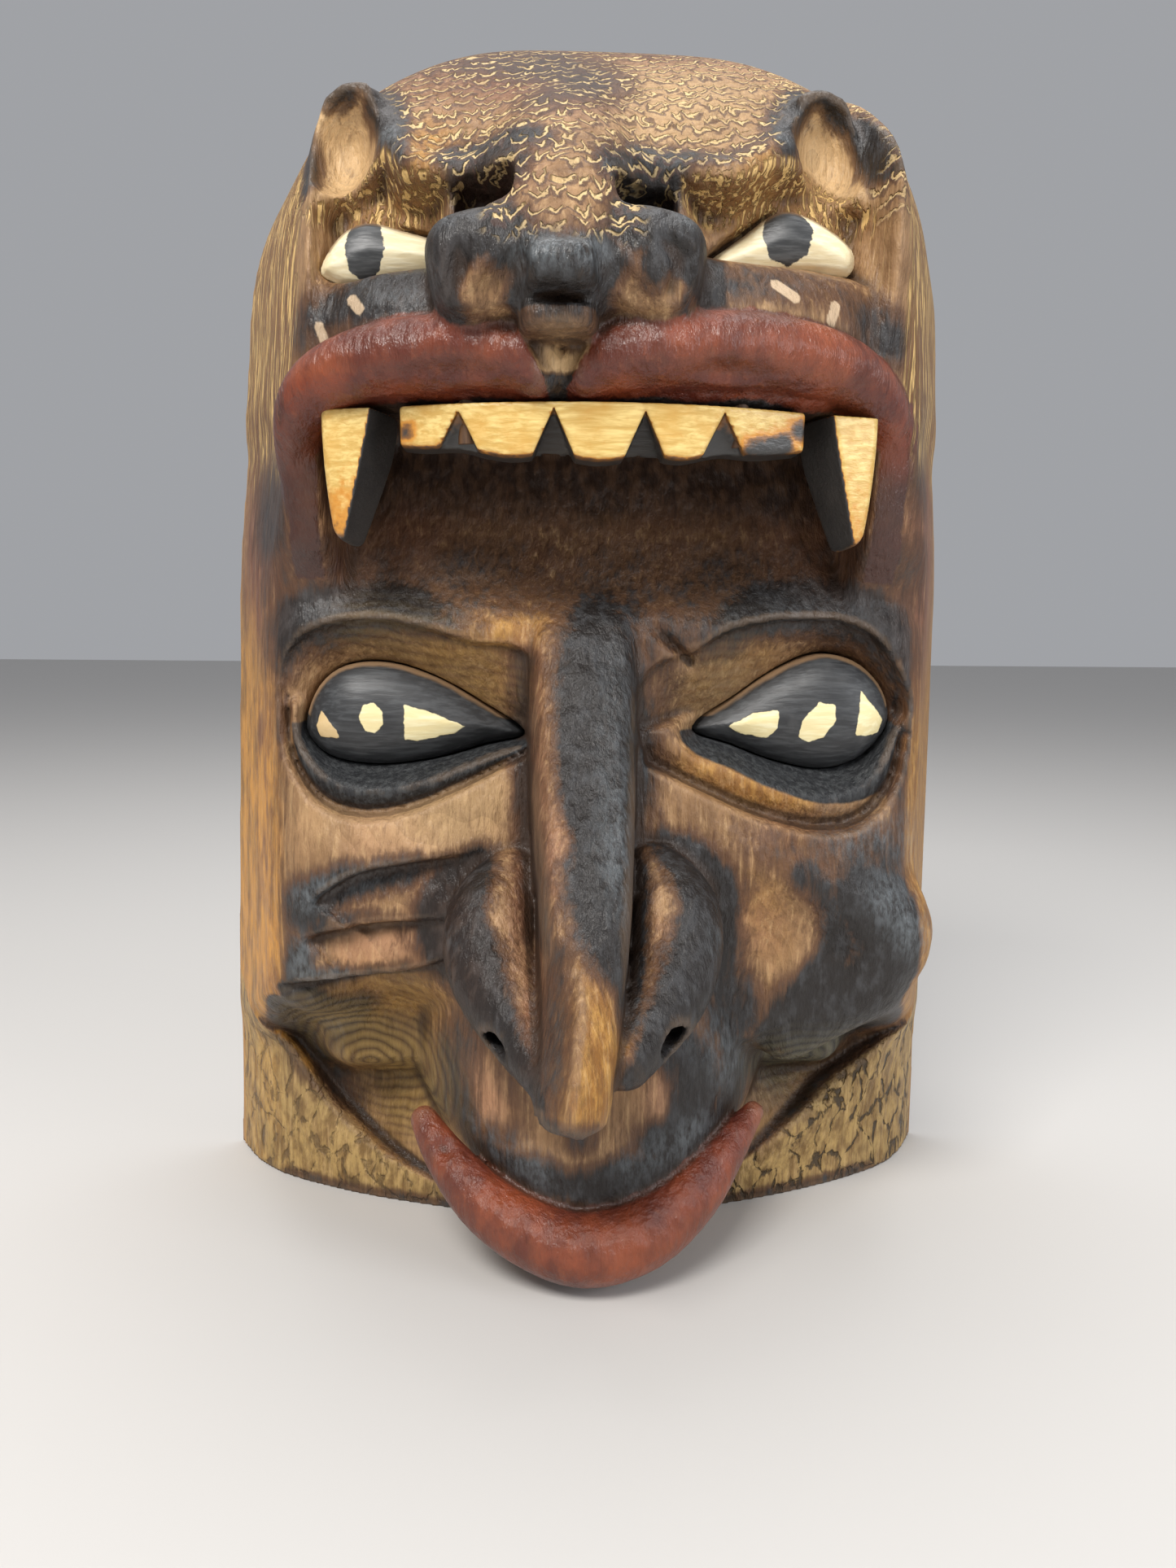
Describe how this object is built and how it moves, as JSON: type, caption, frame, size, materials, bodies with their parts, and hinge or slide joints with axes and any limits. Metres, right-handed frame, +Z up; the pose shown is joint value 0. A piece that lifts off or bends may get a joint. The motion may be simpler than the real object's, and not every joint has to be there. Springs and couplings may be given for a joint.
{
  "type": "carved folk art mask",
  "caption": "Carved and painted wooden mask of a face inside open animal jaws, with inset teeth and eyes and a flat foot to stand on.",
  "frame": {"origin": "middle of the box that holds the mask, at the level of the flat foot", "axes": "+Z up, the face looks along -Y, +X to the viewer's right"},
  "size_m": [0.16, 0.095, 0.23],
  "materials": {
    "carved_wood": "scorched pine, uneven satin varnish",
    "tooth_paint": "cream and ochre paint under varnish",
    "black_eye_paint": "semi-matte black paint with cream spots",
    "white_eye_paint": "semi-matte cream paint with a black pupil",
    "peg_wood": "bare split wood",
    "hanger_steel": "thin zinc plating, a little dull"
  },
  "bodies": {
    "root": {"mask_body": "carved_wood", "tooth_strip": "tooth_paint", "left_fang": "tooth_paint", "right_fang": "tooth_paint", "tooth_pegs": "peg_wood", "cat_left_eye": "white_eye_paint", "cat_right_eye": "white_eye_paint", "left_eye": "black_eye_paint", "right_eye": "black_eye_paint", "hanger_plate": "hanger_steel", "hanger_nails": "hanger_steel"}
  },
  "joints": []
}
